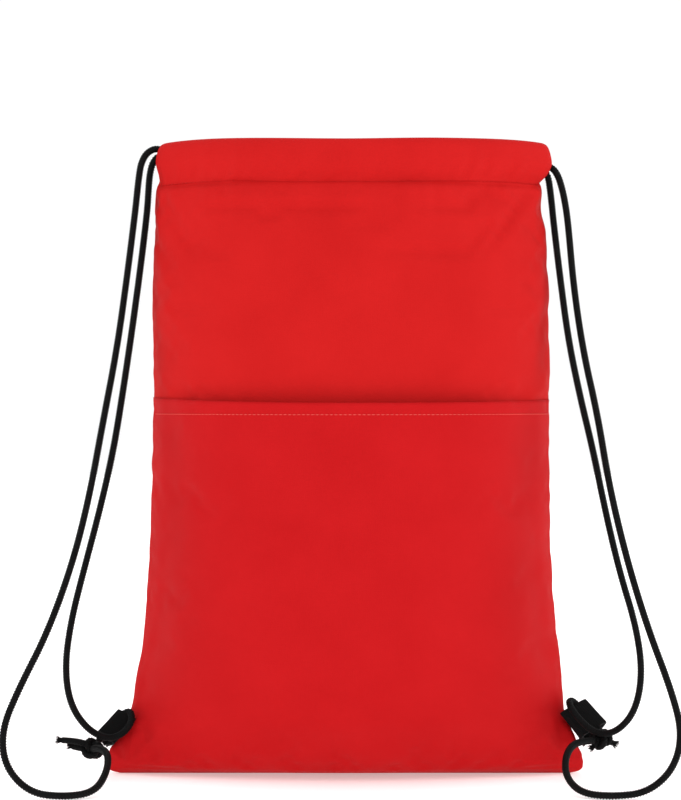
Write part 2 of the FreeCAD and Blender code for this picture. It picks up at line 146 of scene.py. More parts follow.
# Control points of the four free strands in millimetres, from the tunnel's end to the knot.
STRANDS = {
    "left_cord_outer": [
        (-121.5, 8.5, 419.5), (-130, 3, 423), (-137.2, -4.5, 419), (-140.8, -9, 411),
        (-142, -10.4, 403), (-143.3, -10, 392), (-144.8, -9.4, 378), (-150, -11, 335),
        (-156, -19, 286), (-164, -34, 236), (-171, -51, 188), (-180, -67, 146), (-194.5, -78, 103),
        (-212, -84.5, 68), (-222.5, -88.5, 42), (-219.5, -94.5, 20), (-203, -101.5, 4.5),
        (-181, -104, 2.4), (-162.5, -94.5, 3.5), (-156.5, -76, 13.5), (-158, -55, 22.5),
        (-167, -39, 23.5), (-171, -28, 20.5),
    ],
    "left_cord_inner": [
        (-121.5, -8, 415), (-128.5, -4.5, 417), (-133.5, -1, 413), (-135.8, 0.4, 405),
        (-136.6, -0.5, 394), (-137.2, -2, 380), (-141, -9.5, 342), (-145.8, -18.5, 300),
        (-151.2, -26.5, 258), (-157, -33.5, 218), (-165.6, -40, 178), (-175, -45, 141),
        (-183, -49, 108), (-187, -50, 78), (-184.5, -44.5, 53), (-175, -33, 35),
        (-162.5, -24.5, 26.5), (-152, -21.5, 29), (-144.8, -21.5, 39), (-149.4, -11, 46),
        (-169.6, -10.6, 23), (-172, -19, 20),
    ],
    "right_cord_outer": [
        (124, 8, 409.5), (130.5, 3, 411), (136.2, -3, 408.5), (139.5, -6.2, 403),
        (142, -7.6, 394.5), (144.2, -7.6, 384), (146.2, -7.4, 370), (149.6, -9.5, 328),
        (155, -19.5, 284), (163, -33, 242), (168.5, -47.5, 198), (177.5, -63, 152),
        (190, -76, 106), (204, -84.5, 67), (210.5, -89, 40), (204, -96, 18.5),
        (186.5, -101.5, 4.5), (164.5, -102.5, 2.4), (145.5, -95, 3), (137.2, -78, 10.5),
        (139, -59, 21.5), (148, -43, 28.5), (160, -31.5, 26.5),
    ],
    "right_cord_inner": [
        (124, -7.5, 407), (129.5, -4, 407.2), (133.3, -1, 403), (134.7, 0.1, 394.5),
        (135.8, -0.8, 384), (136.9, -2.5, 371), (140.4, -11, 334), (145, -20, 292),
        (152, -28, 254), (160, -34.5, 218), (167.4, -40.5, 178), (176, -46, 139), (186, -50, 105),
        (190.5, -49.5, 74), (186.5, -44, 47.5), (174.5, -35, 32), (161.5, -28.5, 31),
        (151, -24.5, 40.5), (144.5, -21.5, 50), (148.9, -9.8, 51.4), (167.8, -13.2, 29.9),
        (167, -20.5, 28),
    ],
}
TUNNEL_HIDES = 9 * MM  # the length of each strand inside its tunnel
STRAND_BEND = 62 * MM  # a point this far below where a strand leaves its tunnel is worked out and not used

# Centre in millimetres, and the direction that each knot faces.
KNOTS = {
    "left": ((-171.6, -25, 20.1), (0.35, -0.85, 0.4)),
    "right": ((166.2, -25.5, 27), (-0.4, -0.8, 0.45)),
}
# Control points of the cord ends, in millimetres.
TAILS = {
    "left_tail_long": [
        (-173, -25.5, 22), (-175.5, -26.5, 24), (-184, -28.5, 26.2), (-191.5, -29, 26.6),
    ],
    "left_tail_short": [
        (-173, -25, 19.8), (-176, -25, 20), (-180.5, -25, 20.8), (-185, -24.5, 21.8),
    ],
    "right_tail_long": [
        (167, -25.5, 26.5), (169, -25.5, 26.2), (171.5, -25.5, 25.2), (173.8, -25, 24.2),
    ],
    "right_tail_short": [
        (165, -26.5, 25.8), (163.7, -27.5, 25), (162.2, -28.3, 23.8), (161, -28.6, 22.8),
    ],
}

# Webbing tabs: the sewn root and the folded nose in millimetres, each at the tab's upper and lower
# end, the sign that turns the profile's wide side towards the bag, and how far that side spreads.
TABS = {
    "left": {
        "root": ((-154, -0.8, 39.5), (-165.6, -0.8, 18)),
        "nose": ((-152, -14.5, 43.5), (-167.4, -14, 28)),
        "flip": 1,
        "spread": 0.88,
    },
    "right": {
        "root": ((148.4, -0.8, 39.5), (158.6, -0.8, 18.6)),
        "nose": ((153.2, -13, 50), (167.6, -15, 35)),
        "flip": -1,
        "spread": 1.25,
    },
}
# The folded webbing's outline seen end on: out from the root, and across it.
TAB_OUTLINE = np.array([
    (0, 1.3), (4, 2.5), (8.5, 4.1), (12.2, 4.6), (14.6, 3.4), (15.3, 0.5), (15.2, -3.5),
    (14.8, -7.2), (14, -10), (12.3, -10.9), (9.8, -9.4), (5.8, -5.8), (2.4, -2.7), (0, -1.3),
]) * MM
TAB_OUTLINE_REACH = 15 * MM
TAB_FACING = 0.3  # how much of the loop's natural turn to the side is kept
TAB_WIDTH = 24.5 * MM
TAB_THREAD_COLUMN = 18  # the outline's column that the thread runs along
WEBBING = 1.3 * MM
WEBBING_RIB = 1.15 * MM
RIB_RELIEF = 0.28 * MM

# Outline of the folded tunnel seen end on: height, and how far inside the bag's outside.
TUNNEL_OUTSIDE = np.array([
    (395.2, 2.6), (397, 2.1), (400.2, 0.9), (405, -0.7), (411.5, -1.3), (418, -0.5),
    (422.2, 1), (424, 2.9), (424.3, 4.3), (423.6, 5.9), (421, 7.2), (415, 8),
    (407, 8.2), (400, 7.6), (396.6, 6.2), (395.4, 4),
]) * MM
TUNNEL_HOLLOW = np.array([
    (398.2, 3.7), (399.2, 2.9), (402.6, 1.6), (407, 0.5), (412, 0.1), (417.8, 0.8),
    (421.2, 2.2), (422.8, 3.4), (423.1, 4.3), (422.5, 5.1), (420.4, 6.1), (414.8, 6.8),
    (407, 7), (401, 6.4), (398.8, 5.4), (398, 4),
]) * MM
TUNNEL_STOP = 5.2 * MM  # from the side seam
# The cords inside the tunnels: name, end they leave at, height.
TUNNEL_CORDS = (("left", -1, 417 * MM), ("right", 1, 407.5 * MM))
TUNNEL_CORD_INSET = 3.8 * MM
TUNNEL_CORD_STOP = 0.955


# ---- camera, light and floor
def link(name, data):
    thing = bpy.data.objects.new(name, data)
    bpy.context.scene.collection.objects.link(thing)
    return thing


def add_camera():
    data = bpy.data.cameras.new("camera")
    data.lens = CAMERA_LENS
    data.sensor_width = CAMERA_SENSOR
    camera = link("camera", data)
    camera.location = CAMERA_PLACE
    camera.rotation_euler = (math.pi / 2, 0, 0)
    bpy.context.scene.camera = camera


def add_studio():
    world = bpy.data.worlds.new("studio")
    world.use_nodes = True
    background = world.node_tree.nodes["Background"]
    background.inputs["Color"].default_value = WHITE
    background.inputs["Strength"].default_value = WORLD_GLOW
    bpy.context.scene.world = world
    bpy.context.scene.view_settings.view_transform = "Standard"
    for name, place, target, size, watts in LIGHTS:
        data = bpy.data.lights.new(name, "AREA")
        data.shape = "RECTANGLE"
        data.size, data.size_y = size
        data.energy = watts
        light = link(name, data)
        light.location = place
        aim = Vector(target) - Vector(place)
        light.rotation_euler = aim.to_track_quat("-Z", "Y").to_euler()
    mesh = bpy.data.meshes.new("floor")
    corners = [(x * FLOOR_HALF, y * FLOOR_HALF, 0) for x, y in ((-1, -1), (1, -1), (1, 1), (-1, 1))]
    mesh.from_pydata(corners, [], [(0, 1, 2, 3)])
    floor = link("floor", mesh)
    paper = Surface("floor_paper")
    paper.set(Base_Color=FLOOR_WHITE, Roughness=0.9, Emission_Color=WHITE,
              Emission_Strength=FLOOR_GLOW)
    mesh.materials.append(paper.material)


# ---- materials
class Surface:
    """A Principled material and the nodes that feed it."""

    def __init__(self, name):
        self.material = bpy.data.materials.new(name)
        self.material.use_nodes = True
        self.nodes, self.links = self.material.node_tree.nodes, self.material.node_tree.links
        self.shader = self.nodes["Principled BSDF"]

    def set(self, **values):
        for name, value in values.items():
            self.shader.inputs[name.replace("_", " ")].default_value = value

    def node(self, kind, sources=(), **values):
        """A node with sockets linked to sources and others set to values."""
        node = self.nodes.new("ShaderNode" + kind)
        for name, value in values.items():
            node.inputs[name.replace("_", " ")].default_value = value
        for socket, source in dict(sources).items():
            self.links.new(source, node.inputs[socket])
        return node

    def place(self):
        """Coordinates on the unwrapped piece, in metres."""
        return self.node("UVMap").outputs["UV"]

    def math(self, operation, *values):
        node = self.node("Math")
        node.operation = operation
        for socket, value in zip(node.inputs, values):
            if isinstance(value, (int, float)):
                socket.default_value = value
            else:
                self.links.new(value, socket)
        return node.outputs[0]

    def noise(self, vector, scale, detail=3, stretch=None):
        if stretch:
            vector = self.node("Mapping", {"Vector": vector}, Scale=stretch).outputs["Vector"]
        return self.node("TexNoise", {"Vector": vector}, Scale=scale, Detail=detail).outputs["Fac"]

    def weave(self, place, pitch):
        """Height of a plain weave."""
        split = self.node("SeparateXYZ", {0: place})
        waves = [self.math("SINE", self.math("MULTIPLY", split.outputs[k], math.tau / pitch))
                 for k in (0, 1)]
        return self.math("MULTIPLY", *waves)

    def tint(self, factor, *colours):
        ramp = self.node("ValToRGB", {"Fac": factor})
        for element, at, colour in zip(ramp.color_ramp.elements, TINT_SPAN, colours):
            element.position = at
            element.color = (*colour, 1)
        self.links.new(ramp.outputs["Color"], self.shader.inputs["Base Color"])

    def roughness(self, factor, low, high):
        span = self.node("MapRange", {"Value": factor}, To_Min=low, To_Max=high)
        self.links.new(span.outputs["Result"], self.shader.inputs["Roughness"])

    def bump(self, *layers):
        """Bumps from the lowest up: height, distance and strength of each."""
        below = {}
        for height, distance, strength in layers:
            below["Height"] = height
            bump = self.node("Bump", below, Distance=distance, Strength=strength)
            below = {"Normal": bump.outputs["Normal"]}
        self.links.new(below["Normal"], self.shader.inputs["Normal"])


def cloth_material(name, deep, bright, pitch, roughness, sheen, shine, bump=0.25):
    """Woven polyester: a fine plain weave, slubs along both thread directions, uneven dye."""
    surface = Surface(name)
    place = surface.place()
    weave = surface.weave(place, pitch)
    uneven = surface.noise(place, 22, 4)
    slubs = surface.noise(place, 9, 4, (14, 160, 1))
    cross_slubs = surface.noise(place, 9, 4, (160, 14, 1))
    threads = surface.math("ADD", slubs, cross_slubs)
    dye = surface.math("MULTIPLY", uneven, 0.56)
    surface.tint(surface.math("ADD", dye, surface.math("MULTIPLY", threads, 0.22)), deep, bright)
    surface.roughness(threads, roughness - 0.08, roughness + 0.1)
    surface.bump((weave, 0.12 * MM, bump), (threads, 0.25 * MM, bump * 0.8))
    surface.set(Sheen_Weight=sheen, Sheen_Roughness=0.35, Specular_IOR_Level=shine)
    return surface.material


def cord_material(name, deep, bright, pitch):
    """Braided polypropylene yarn: fine filaments along each strand, with a dry shine."""
    surface = Surface(name)
    place = surface.place()
    filaments = surface.noise(place, 3000, 3, (1, 0.35, 1))
    surface.tint(surface.noise(place, 90), deep, bright)
    surface.roughness(filaments, 0.42, 0.7)
    surface.bump((filaments, 0.15 * MM, 0.5), (surface.weave(place, pitch), 0.08 * MM, 0.3))
    surface.set(Sheen_Weight=0.02, Sheen_Roughness=0.4, Specular_IOR_Level=0.08)
    return surface.material


def foil_material():
    """Aluminised film: metallic, with fine crinkles that break up its shine."""
    surface = Surface("silver_lining")
    place = surface.place()
    creases = surface.node("TexVoronoi", {"Vector": place}, Scale=90)
    creases.feature = "DISTANCE_TO_EDGE"
    crinkles = surface.noise(place, 260, 5)
    surface.tint(crinkles, (0.74, 0.75, 0.77), (0.9, 0.91, 0.92))
    surface.roughness(crinkles, 0.28, 0.5)
    surface.bump((crinkles, 0.5 * MM, 0.6), (creases.outputs["Distance"], 0.8 * MM, 0.35))
    surface.set(Metallic=0.75)
    return surface.material


def foam_material():
    """Closed-cell polyethylene foam: matt and finely pitted."""
    surface = Surface("foam")
    cells = surface.node("TexVoronoi", {"Vector": surface.place()}, Scale=900).outputs["Distance"]
    surface.tint(cells, (0.86, 0.86, 0.84), (0.7, 0.7, 0.68))
    surface.roughness(cells, 0.6, 0.85)
    surface.bump((cells, 0.3 * MM, 0.4))
    surface.set(Subsurface_Weight=0.05)
    return surface.material


BLACK = ((0.0012, 0.0012, 0.0013), (0.0034, 0.0034, 0.0036))


def build_materials():
    """Two tints, weave pitch, roughness, sheen and specular level of each cloth."""
    cloths = {
        "red_shell": ((0.452, 0.0052, 0.0052), (0.512, 0.0082, 0.008),
                      0.9 * MM, 0.62, 0.01, 0.09),
        "pocket_cloth": ((0.42, 0.0024, 0.004), (0.48, 0.005, 0.007),
                         0.8 * MM, 0.58, 0.008, 0.09),
        "red_thread": ((0.47, 0.008, 0.008), (0.53, 0.012, 0.012), 0.5 * MM, 0.5, 0.01, 0.1),
        # The pocket hem's thread: the same red thread painted paler, a painted highlight along its
        # row of stitches.
        "highlight_thread": ((0.6, 0.05, 0.042), (0.7, 0.08, 0.066), 0.5 * MM, 0.5, 0.02, 0.15),
        "seam_tape": ((0.42, 0.43, 0.44), (0.56, 0.57, 0.58), 0.7 * MM, 0.6, 0.05, 0.3),
        "black_webbing": (*BLACK, 0.7 * MM, 0.65, 0.02, 0.12, 0.5),
        "black_thread": (*BLACK, 0.4 * MM, 0.5, 0.02, 0.15),
    }
    made = {name: cloth_material(name, *values) for name, values in cloths.items()}
    made["foam"] = foam_material()
    made["silver_lining"] = foil_material()
    made["black_cord"] = cord_material("black_cord", *BLACK, 0.5 * MM)
    return made


# ---- numbers
def monotone(x, y, at):
    """Smooth values between rows of a table, with no overshoot."""
    step = np.diff(x)
    slope = np.diff(y) / step
    slope = np.where(np.abs(slope) < 1e-9, 1e-9, slope)
    left, right = slope[:-1], slope[1:]
    first, second = 2 * step[1:] + step[:-1], step[1:] + 2 * step[:-1]
    inner = np.where(left * right > 0, (first + second) / (first / left + second / right), 0)
    tangent = np.concatenate([slope[:1], inner, slope[-1:]])
    k = np.clip(np.searchsorted(x, at, side="right") - 1, 0, len(step) - 1)
    t = (at - x[k]) / step[k]
    t2, t3 = t * t, t * t * t
    return ((2 * t3 - 3 * t2 + 1) * y[k] + (t3 - 2 * t2 + t) * step[k] * tangent[k]
            + (3 * t2 - 2 * t3) * y[k + 1] + (t3 - t2) * step[k] * tangent[k + 1])


def smoothstep(value):
    value = np.clip(value, 0, 1)
    return value * value * (3 - 2 * value)


def fade(distance, reach):
    """1 at no distance, and nearly 0 beyond twice the reach."""
    return np.exp(-(distance / reach) ** 2)


def hump(distance, reach):
    """0 at no distance, 1 at the reach, and slowly back to 0."""
    return distance / reach * np.exp(1 - distance / reach)


def noise_field(points, size, seed):
    """Smooth noise from -1 to 1 at each point of a grid."""
    shape = points.shape[:-1]
    scaled = points.reshape(-1, 3) / np.array(size) + seed * 17.31
    return np.array([noise.noise(p) for p in scaled]).reshape(shape)


def unit(vectors):
    return vectors / np.linalg.norm(vectors, axis=-1, keepdims=True)


def grid_normals(points):
    """Unit normals of a grid of points."""
    normals = np.cross(np.gradient(points, axis=1), np.gradient(points, axis=0))
    return normals / np.maximum(np.linalg.norm(normals, axis=-1, keepdims=True), 1e-12)


def arc_length(line):
    """How far along a line each of its points is."""
    return np.concatenate([[0], np.cumsum(np.linalg.norm(np.diff(line, axis=0), axis=1))])


def read_line(values, along, at):
    """A line's values, read at distances along it."""
    return np.stack([np.interp(at, along, values[:, k]) for k in range(values.shape[1])], axis=1)


def spline_through(points, k, t):
    """Catmull-Rom points after the points k, with t from 0 to 1."""
    p0, p1, p2, p3 = (points[(k + shift) % len(points)] for shift in (-1, 0, 1, 2))
    t = t.reshape(-1, *[1] * (points.ndim - 1))
    return 0.5 * (2 * p1 + (p2 - p0) * t + (2 * p0 - 5 * p1 + 4 * p2 - p3) * t ** 2
                  + (3 * p1 - p0 - 3 * p2 + p3) * t ** 3)


def read_smoothly(table, at):
    """A table's rows, read at fractional places."""
    k = np.clip(at.astype(int), 0, len(table) - 2)
    return spline_through(np.concatenate([table[:1], table, table[-1:]]), k + 1, at - k)


def closed_curve(points, count):
    """Points on a smooth closed curve through a few points."""
    at = np.linspace(0, len(points), count, endpoint=False)
    return spline_through(points, at.astype(int), at % 1)


def open_curve(points, count):
    """Evenly spaced points on a smooth curve through a few points."""
    ends = np.concatenate([[2 * points[0] - points[1]], points, [2 * points[-1] - points[-2]]])
    at = np.linspace(0, len(points) - 1.0001, count * 3)
    curve = spline_through(ends, at.astype(int) + 1, at % 1)
    along = arc_length(curve)
    even = np.linspace(0, along[-1], count)
    return read_line(curve, along, even), even


# ---- meshes
def new_object(name, vertices, faces, uvs=None):
    mesh = bpy.data.meshes.new(name)
    mesh.from_pydata(vertices.reshape(-1, 3).tolist(), [], faces)
    if uvs is not None:
        layer = mesh.uv_layers.new(name="UVMap")
        loops = np.empty(len(mesh.loops), dtype=np.int32)
        mesh.loops.foreach_get("vertex_index", loops)
        layer.data.foreach_set("uv", uvs.reshape(-1, 2)[loops].astype(np.float32).ravel())
    mesh.shade_smooth()
    return link(name, mesh)


def dress(thing, body, slot, *nodes, material=None):
    """Gives a piece its material, picked by its slot name unless another is named, hangs it on its
    body and hides the CAD nodes it replaces.
    """
    thing.data.materials.append(MATERIALS[material or slot])
    if body:
        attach(thing, body)
    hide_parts(*nodes)
    return thing


def grid_faces(rows, columns, start=0, close_rows=False, close_columns=False, turn=False):
    """Quads of a grid of vertices. Either direction may close on itself."""
    ids = start + np.arange(rows * columns).reshape(rows, columns)
    if close_rows:
        ids = np.concatenate([ids, ids[:1]])
    if close_columns:
        ids = np.concatenate([ids, ids[:, :1]], axis=1)
    corners = [ids[:-1, :-1], ids[:-1, 1:], ids[1:, 1:], ids[1:, :-1]]
    return np.stack(corners[::-1] if turn else corners, axis=-1).reshape(-1, 4).tolist()


def tube_faces(rings, sides, start=0):
    """The sides of a tube, and a cap on each end."""
    faces = grid_faces(rings, sides, start, close_columns=True)
    faces.append(tuple(start + k for k in range(sides))[::-1])
    faces.append(tuple(start + (rings - 1) * sides + k for k in range(sides)))
    return faces


def rings_about(centre, radius, first, second, sides):
    """A ring of points about each point of a line, between two directions across it."""
    angles = [math.tau * k / sides for k in range(sides)]
    return np.stack([centre + radius * (math.cos(a) * first + math.sin(a) * second)
                     for a in angles], axis=1)


def ply_object(name, outside, inside, uvs, turn, close_rows=False):
    """A closed thin sheet between two grids, flat or with its rows in a ring."""
    rows, columns = outside.shape[:2]
    count = rows * columns
    ids = np.arange(count).reshape(rows, columns)
    faces = grid_faces(rows, columns, 0, close_rows, turn=turn)
    faces += grid_faces(rows, columns, count, close_rows, turn=not turn)
    loops = [(np.concatenate([ids[0], ids[1:, -1], ids[-1, -2::-1], ids[-2:0:-1, 0]]), turn)]
    if close_rows:
        loops = [(ids[:, 0], turn), (ids[:, -1], not turn)]
    for loop, way in loops:
        for a, b in zip(loop.tolist(), np.roll(loop, -1).tolist()):
            faces.append((a, b, b + count, a + count) if way else (b, a, a + count, b + count))
    return new_object(name, np.concatenate([outside.reshape(-1, 3), inside.reshape(-1, 3)]),
                      faces, np.concatenate([uvs.reshape(-1, 2)] * 2))


# ---- the bag's wall
def wall_rows():
    """Distances along the wall's profile: the table's rows and the mesh's."""
    reach = np.hypot(np.diff(PROFILE[:, 0]), np.diff(PROFILE[:, 3]))
    stations = np.concatenate([[0], np.cumsum(reach)])
    rows = np.concatenate([
        np.linspace(0, 0.14, 44),
        np.linspace(0.14, 0.9, 120)[1:],
        np.linspace(0.9, 1, 34)[1:],
    ])
    return stations, rows * np.interp(SEAM_Z, PROFILE[:, 0], stations)


STATIONS, ROWS = wall_rows()
ROW_Z = np.interp(ROWS, STATIONS, PROFILE[:, 0])
COARSE_Z = np.append(ROW_Z[::2], ROW_Z[-1])
# Shares of the way across, from -1 at the left seam to 1 at the right, crowded at the seams.
EVEN = np.linspace(-1, 1, 170)
SHARE = 0.45 * EVEN + 0.55 * (1.5 * EVEN - 0.5 * EVEN ** 3)


def lens(half_width, half_depth, rounding, share):
    """Across one side of a section: its two small side arcs and its broad arc."""
    reach = half_width - rounding
    radius = (reach ** 2 + half_depth ** 2 - rounding ** 2) / (2 * (half_depth - rounding))
    angle = np.arcsin(np.clip(reach / (radius - rounding), -1, 1))
    broad = radius * angle
    half_length = broad + rounding * (np.pi / 2 - angle)
    along = np.abs(share) * half_length
    on_broad = along <= broad
    turn = np.where(on_broad, along / radius, angle + (along - broad) / rounding)
    x = np.where(on_broad, radius * np.sin(turn), reach + rounding * np.sin(turn))
    y = np.where(on_broad, radius * np.cos(turn) - (radius - half_depth), rounding * np.cos(turn))
    return np.sign(share) * x, y, half_length


def wall_point(z, inset, depth_of, share):
    """Point of a side at heights z, drawn in by an inset."""
    half_width = monotone(PROFILE[:, 0], PROFILE[:, 1], z) - inset
    middle = monotone(PROFILE[:, 0], PROFILE[:, 2], z)
    depth = depth_of(z)
    sideways = smoothstep(depth / (35 * MM))
    depth = np.maximum(depth - inset * sideways, 1 * MM)
    rounding = np.maximum(monotone(PROFILE[:, 0], PROFILE[:, 4], z) - inset, 0.7 * MM)
    x, y, half_length = lens(half_width, depth, np.minimum(rounding, 0.6 * depth), share)
    upward = inset * (1 - smoothstep(z / (25 * MM)))
    return middle + x, y, z + upward + 0 * x, half_length


def rim_sway(share):
    """How far the mouth's edge rises and dips from a level line."""
    return MM * (8.8 * share ** 2 * (1 - share ** 2) - 1.2 * (1 - share ** 4))


def sway_share(z):
    return smoothstep((z - SWAY_FROM) / (SEAM_Z - SWAY_FROM))[:, None]


def front_depth(z):
    return monotone(PROFILE[:, 0], PROFILE[:, 3], z)


def back_depth(z):
    return front_depth(z) * BACK_FULLNESS


def pocket_depth(z):
    return monotone(*POCKET_PROFILE.T, z)


SIDES = (("front", -1, front_depth), ("back", 1, back_depth))


def wall_grid(side, z, share, inset, depth_of):
    """Grid of points on one side of the bag and its cloth coordinates."""
    x, y, height, half_length = wall_point(z[:, None], inset, depth_of, share)
    height = height + rim_sway(share) * sway_share(z)
    points = np.stack([x, side * (y + SEAM_GAP), height], axis=-1)
    v = arc_length(points[:, len(share) // 2])
    return points, np.stack(np.broadcast_arrays(share * half_length, v[:, None]), axis=-1)


def simulate_wall():
    """Swells the wall as cloth: how far each point of a coarse grid moved, for each side."""
    z = np.interp(np.linspace(0, ROWS[-1], SIM_ROWS), STATIONS, PROFILE[:, 0])
    share = np.linspace(-1, 1, SIM_COLUMNS)
    front, back = (wall_grid(side, z, share, 0, depth_of)[0] for _, side, depth_of in SIDES)
    front[:, (0, -1), 1] = 0
    ring = np.concatenate([front, back[:, -2:0:-1]], axis=1)
    rows, columns = ring.shape[:2]
    moved = np.zeros(ring.shape)
    thing = new_object("wall_simulated", ring, grid_faces(rows, columns, close_columns=True))
    held = thing.vertex_groups.new(name="held")
    held.add([i * columns + j for i in range(rows) for j in range(columns)
              if j in (0, SIM_COLUMNS - 1) or z[i] < SIM_HELD_BELOW or i == rows - 1],
             1, "REPLACE")
    cloth = thing.modifiers.new("cloth", "CLOTH")
    for setting, value in SIM_CLOTH.items():
        setattr(cloth.settings, setting, value)
    cloth.settings.effector_weights.gravity = 0
    cloth.collision_settings.use_collision = False
    cloth.point_cache.frame_start = 1
    cloth.point_cache.frame_end = SIM_FRAMES
    scene = bpy.context.scene
    before = scene.frame_current
    for frame_number in range(1, SIM_FRAMES + 1):
        scene.frame_set(frame_number)
    graph = bpy.context.evaluated_depsgraph_get()
    mesh = bpy.data.meshes.new_from_object(thing.evaluated_get(graph))
    after = np.array([v.co for v in mesh.vertices], float).reshape(ring.shape)
    bpy.data.meshes.remove(mesh)
    bpy.data.objects.remove(thing)
    scene.frame_set(before)
    moved = after - ring
    far = np.linalg.norm(moved, axis=-1, keepdims=True)
    moved = moved * SIM_CAP * np.tanh(far / SIM_CAP) / np.maximum(far, 1e-9)
    back_moved = np.concatenate([moved[:, :1], moved[:, :SIM_COLUMNS - 2:-1]], axis=1)
    return {-1: moved[:, :SIM_COLUMNS], 1: back_moved}


def swell_at(side, z, share):
    """How far the simulation moved the wall, read at other heights and shares."""
    place = np.interp(z, PROFILE[:, 0], STATIONS) / ROWS[-1] * (SIM_ROWS - 1)
    down = read_smoothly(SWELL[side], place)
    across = (share + 1) / 2 * (SIM_COLUMNS - 1)
    return read_smoothly(down.swapaxes(0, 1), across).swapaxes(0, 1)


def wrinkles(points, uvs, seed, gathers, reach=1):
    """How far the cloth stands out, on a grid that covers a share (reach) of the way across."""
    z = points[..., 2]
    edge = np.abs(uvs[:, -1:, 0]) / reach - np.abs(uvs[..., 0])
    flat = np.stack([uvs[..., 0], uvs[..., 1], np.full(z.shape, 0.37)], axis=-1)
    broad = 0.9 * noise_field(points, 95 * MM, seed)
    broad += 0.35 * noise_field(points, 38 * MM, seed + 1)
    below = np.maximum(SEAM_Z - z, 0)
    gather = 1.5 * noise_field(flat, (9 * MM, 70 * MM, 1), seed + 2)
    gather = gathers * gather * (1 - fade(edge, 14 * MM)) * hump(below, 7 * MM)
    groove = -2.1 * gathers * fade(below, 2 * MM)
    pucker = 0.6 * noise_field(flat, (60 * MM, 13 * MM, 1), seed + 3)
    pucker = pucker * np.exp(-edge / (9 * MM))
    crease = -1.5 * fade(edge, 2.4 * MM)
    ears = np.zeros(z.shape)
    for end in (-1, 1):
        across = end * 150 * MM - points[..., 0]
        up = z - 6 * MM
        distance = np.hypot(across, up)
        bend = 2 * noise_field(points, 40 * MM, seed + 4)
        fan = np.sin(9 * np.arctan2(up, np.abs(across)) + bend)
        near = np.exp(-distance / (42 * MM)) * (1 - np.exp(-distance / (14 * MM)))
        ears += 1.1 * fan * near
    on_side = smoothstep((z - 4 * MM) / (14 * MM))
    return ((broad + pucker + ears) * on_side + gather + groove + crease) * MM


def wrinkled_ply(name, side, z, share, inset, thickness, depth_of, height, shift):
    """One ply: both of its faces stand out by height and move with the swell."""
    outside, uvs = wall_grid(side, z, share, inset, depth_of)
    inside, _ = wall_grid(side, z, share, inset + thickness, depth_of)
    normals = grid_normals(outside) * -side
    swell = swell_at(side, z, share)
    swell[..., 2] += shift
    grids = []
    for grid in (outside, inside):
        moved = grid + normals * height[..., None] + swell
        moved[..., 1] = side * np.maximum(side * moved[..., 1], SEAM_GAP)
        moved[..., 2] = np.maximum(moved[..., 2], FLOOR_GAP)
        grids.append(moved)
    return ply_object(name, *grids, uvs, side < 0), grids[0], normals


def build_wall():
    """The outer cloth, foam and lining of both sides."""
    for (name, side, depth_of), seed in zip(SIDES, (3, 11)):
        behind_pocket = BEHIND_POCKET if side < 0 else 0
        cloth_inset = behind_pocket * (1 - smoothstep((ROW_Z - POCKET_Z) / (14 * MM)))[:, None]
        foam_inset = behind_pocket + CLOTH + PLY_GAP
        lining_inset = foam_inset + FOAM + PLY_GAP

        def wall_ply(piece, z, share, inset, thickness, slot, node, crinkle=0):
            smooth, smooth_uvs = wall_grid(side, z, share, 0, depth_of)
            height = wrinkles(smooth, smooth_uvs, seed, 1, share[-1]) + crinkle
            if share[-1] < 1:
                near_end = smoothstep((np.abs(share) / INNER_REACH - 0.9) / 0.1)
                height = height - EDGE_TUCK * near_end
                shift = -CORNER_DROP * (sway_share(z) * near_end)
            else:
                near_top = smoothstep((z - SEAM_Z) / (6 * MM) + 1)[:, None]
                near_side = smoothstep((np.abs(share) - 0.957) / 0.023)
                shift = SIDE_RISE * (near_top * near_side)
            ply = wrinkled_ply(piece, side, z, share, inset, thickness, depth_of, height, shift)
            return dress(ply[0], "bag", slot, node)

        cloth = wall_ply(name + "_cloth", ROW_Z, SHARE, cloth_inset, CLOTH, "red_shell",
                         name + "_panel")

        coarse = SHARE[::2] / SHARE[::2][-1] * INNER_REACH
        foam = wall_ply(name + "_foam_sheet", COARSE_Z, coarse, foam_inset, FOAM, "foam",
                        name + "_foam")

        share = SHARE * INNER_REACH
        outside, _ = wall_grid(side, ROW_Z, share, lining_inset, depth_of)
        crinkle = 0.45 * MM * noise_field(outside, 11 * MM, seed + 6)
        crinkle = crinkle + 0.25 * MM * noise_field(outside, 4.5 * MM, seed + 7) - 0.5 * MM
        lining = wall_ply(name + "_foil", ROW_Z, share, lining_inset, LINING, "silver_lining",
                          name + "_lining", crinkle)


# ---- tunnels
def tunnel_grid(side, outline, share, depth_of, seed):
    """The outline carried along one side of the mouth, with gathers over the seam."""
    z, inset = outline[:, 0][:, None], outline[:, 1][:, None]
    x, y, height, half_length = wall_point(z, 0, depth_of, share)
    base = np.stack([x, side * y, height], axis=-1)
    along = share * half_length
    outward = unit(np.cross(np.gradient(base, axis=1), np.array([0, 0, 1])))
    outward = outward * np.where((outward[..., 1:2] * side) < 0, -1, 1)
    flat = np.stack([along, z + 0 * along, inset + 0 * along], axis=-1)
    above = z - SEAM_Z
    gather = 1.5 * noise_field(flat, (8 * MM, 60 * MM, 60 * MM), seed)
    gather = gather * hump(np.maximum(above, 0), 5 * MM)
    slack = 1.4 * noise_field(flat, (60 * MM, 22 * MM, 40 * MM), seed + 1)
    slack = slack * smoothstep(above / (12 * MM))
    lift = 0.9 * noise_field(flat, (75 * MM, 1, 1), seed + 2)
    lift = lift * smoothstep(above / (24 * MM))
    to_end = half_length - np.abs(along)
    end_swell = 1.2 * np.exp(-to_end / (14 * MM)) * smoothstep(above / (10 * MM))
    shift = (gather + slack + end_swell) * MM - inset
    base = base + outward * shift[..., None]
    base[..., 2] += lift * MM + rim_sway(share)
    return base, np.stack([along + 0 * z, inset + z + 0 * along], axis=-1)


